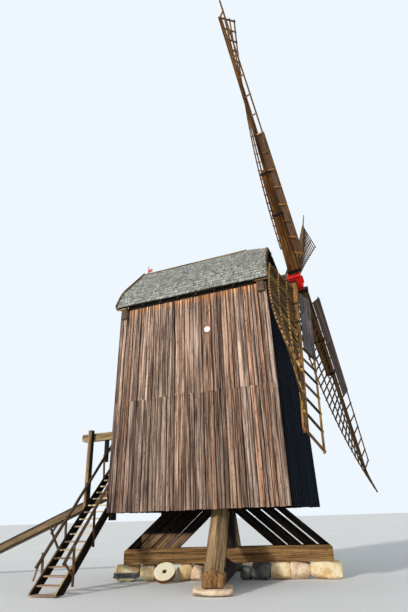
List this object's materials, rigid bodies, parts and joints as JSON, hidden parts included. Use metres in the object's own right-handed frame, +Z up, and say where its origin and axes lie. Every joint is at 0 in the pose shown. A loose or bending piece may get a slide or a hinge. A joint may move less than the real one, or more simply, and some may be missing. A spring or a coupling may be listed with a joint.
{
  "type": "wooden post mill windmill",
  "caption": "Wooden post mill: boarded body with a shingled roof, turning on a post over a braced trestle, with lattice sails, a ladder and a tail pole.",
  "frame": {"origin": "where the axis of the main post meets the ground", "axes": "+Z up along the main post, +X towards the sails, -Y towards the foot of the ladder"},
  "size_m": [15.793, 14.8462, 17.2902],
  "materials": {
    "oak": "weathered",
    "dark_timber": "weathered",
    "boards": "weathered",
    "shingles": "weathered",
    "sail_timber": "weathered",
    "sail_boards": "weathered",
    "stone": "rough",
    "white_paint": "matt",
    "iron": "matt",
    "red_iron": "painted",
    "vane_paint": "matt"
  },
  "bodies": {
    "trestle": {"pier_stones": "stone", "slab_stones": "stone", "cross_tree_lower": "oak", "cross_tree_upper": "oak", "main_post": "dark_timber", "quarterbars_long": "dark_timber", "quarterbars_cross": "dark_timber", "millstone": "stone"},
    "buck": {"side_wall_near": "boards", "side_wall_far": "boards", "breast_wall": "boards", "tail_wall_near": "boards", "tail_wall_far": "boards", "tail_wall_under_door": "boards", "tail_wall_over_door": "boards", "door": "boards", "floor": "boards", "crown_tree": "dark_timber", "weather_beam": "dark_timber", "tail_beam": "dark_timber", "shaft_bearings": "dark_timber", "wall_plates": "dark_timber", "roof_far": "shingles", "roof_near": "shingles", "round_disc": "white_paint", "landing": "boards", "ladder_sides": "oak", "ladder_treads": "oak", "handrails": "oak", "tail_pole": "oak", "hanger_beam": "dark_timber", "pole_hangers": "dark_timber", "corner_blocks": "dark_timber", "vane_spindle": "iron"},
    "rotor": {"windshaft": "dark_timber", "poll_end": "red_iron", "stock_front": "dark_timber", "stock_back": "dark_timber", "whips": "sail_timber", "leading_boards": "sail_boards", "sail_lattice_1": "sail_timber", "sail_lattice_2": "sail_timber", "sail_lattice_3": "sail_timber", "sail_lattice_4": "sail_timber"},
    "vane": {"weather_vane": "vane_paint"}
  },
  "joints": [
    {"name": "body_turn", "type": "hinge", "parent": "trestle", "child": "buck", "pos_m": [0, 0, 4.9], "axis": [0, 0, 1], "continuous": true},
    {"name": "sail_turn", "type": "hinge", "parent": "buck", "child": "rotor", "pos_m": [3.156, 0, 9.829], "axis": [0.9964, 0, 0.0844], "continuous": true},
    {"name": "vane_turn", "type": "hinge", "parent": "buck", "child": "vane", "pos_m": [-3.09723, 0, 11.9], "axis": [0, 0, 1], "continuous": true}
  ]
}
